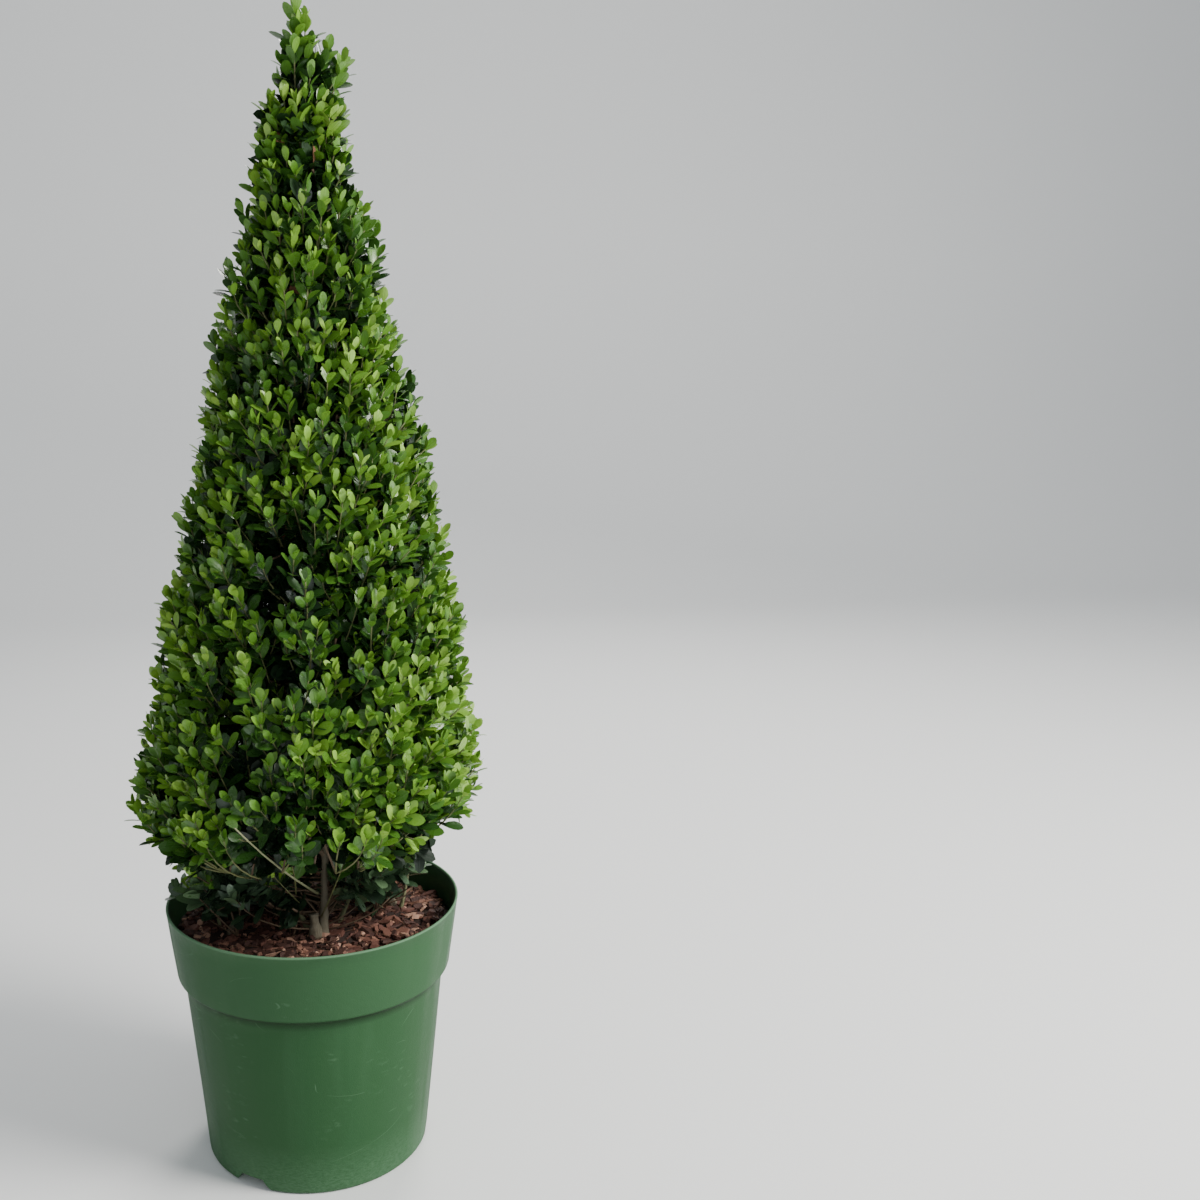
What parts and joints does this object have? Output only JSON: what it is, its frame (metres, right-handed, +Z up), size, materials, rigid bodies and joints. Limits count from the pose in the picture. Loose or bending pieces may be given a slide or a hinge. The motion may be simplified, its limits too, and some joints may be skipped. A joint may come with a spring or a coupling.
{
  "type": "potted holly pyramid topiary",
  "caption": "Small-leaved evergreen holly clipped to a tall pyramid, on a short woody stem in a round green nursery pot filled with bark-topped potting mix",
  "frame": {"origin": "centre of the pot's flat underside, on the plastic", "axes": "+Z up along the plant; the picture's camera looks along +Y with +X to its right, so the stem that is nearest in the picture stands at -Y"},
  "size_m": [0.265, 0.2596, 0.8442],
  "materials": {
    "pot_plastic": "semi-matt, lightly scuffed",
    "bark_mulch": "rough",
    "stem_bark": "rough",
    "leaves": "glossy",
    "old_leaves": "satin"
  },
  "bodies": {
    "root": {"bough_low_back": "stem_bark", "bough_low_front": "stem_bark", "bough_low_left": "stem_bark", "bough_low_right": "stem_bark", "bough_lower_1": "stem_bark", "bough_lower_2": "stem_bark", "bough_lower_3": "stem_bark", "bough_lower_4": "stem_bark", "bough_lower_5": "stem_bark", "bough_middle_1": "stem_bark", "bough_middle_2": "stem_bark", "bough_middle_3": "stem_bark", "bough_middle_4": "stem_bark", "bough_skirt_4": "stem_bark", "bough_skirt_5": "stem_bark", "bough_upper_1": "stem_bark", "bough_upper_2": "stem_bark", "bough_upper_3": "stem_bark", "foliage_low_back": "old_leaves", "foliage_low_front": "old_leaves", "foliage_low_left": "old_leaves", "foliage_low_right": "old_leaves", "foliage_lower_1": "old_leaves", "foliage_lower_2": "old_leaves", "foliage_lower_3": "old_leaves", "foliage_lower_4": "old_leaves", "foliage_lower_5": "old_leaves", "foliage_middle_1": "leaves", "foliage_middle_2": "leaves", "foliage_middle_3": "leaves", "foliage_middle_4": "leaves", "foliage_neck_1": "leaves", "foliage_neck_2": "leaves", "foliage_peak_1": "leaves", "foliage_peak_2": "leaves", "foliage_skirt_1": "leaves", "foliage_skirt_2": "leaves", "foliage_skirt_3": "leaves", "foliage_skirt_4": "leaves", "foliage_skirt_5": "leaves", "foliage_tip": "leaves", "foliage_upper_1": "leaves", "foliage_upper_2": "leaves", "foliage_upper_3": "leaves", "pot": "pot_plastic", "potting_mix": "bark_mulch", "stem_back": "stem_bark", "stem_left": "stem_bark", "stem_right": "stem_bark", "trunk": "stem_bark"}
  },
  "joints": []
}
